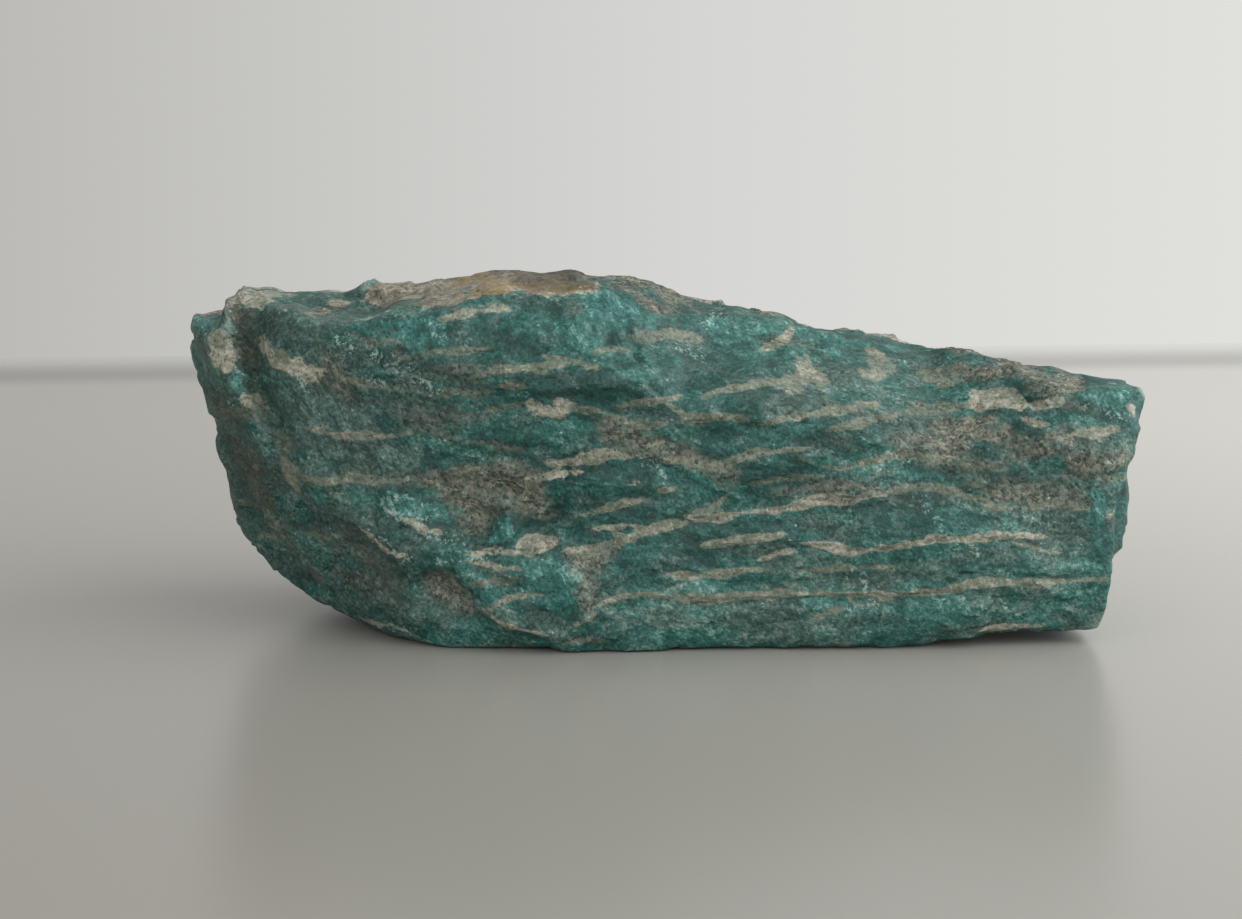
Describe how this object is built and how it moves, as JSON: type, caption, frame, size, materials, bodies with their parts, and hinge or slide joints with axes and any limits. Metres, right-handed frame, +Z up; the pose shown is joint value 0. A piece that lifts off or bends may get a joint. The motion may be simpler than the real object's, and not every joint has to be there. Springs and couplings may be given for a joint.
{
  "type": "rough amazonite stone",
  "caption": "Rough chunk of blue-green amazonite feldspar with pale lamellae, a long wedge-shaped block that rests on its flat underside.",
  "frame": {"origin": "on the surface that the stone rests on, under the middle of its box", "axes": "+X along the stone's length, to the right as one faces the broad fracture face; +Y away from that face, to the back; +Z up"},
  "size_m": [0.0938, 0.0404, 0.0344],
  "materials": {
    "amazonite": "rough broken feldspar: blue-green, with pale beige stripes, grey-brown weathered patches and a satin cleavage sheen"
  },
  "bodies": {
    "root": {"amazonite": "amazonite"}
  },
  "joints": []
}
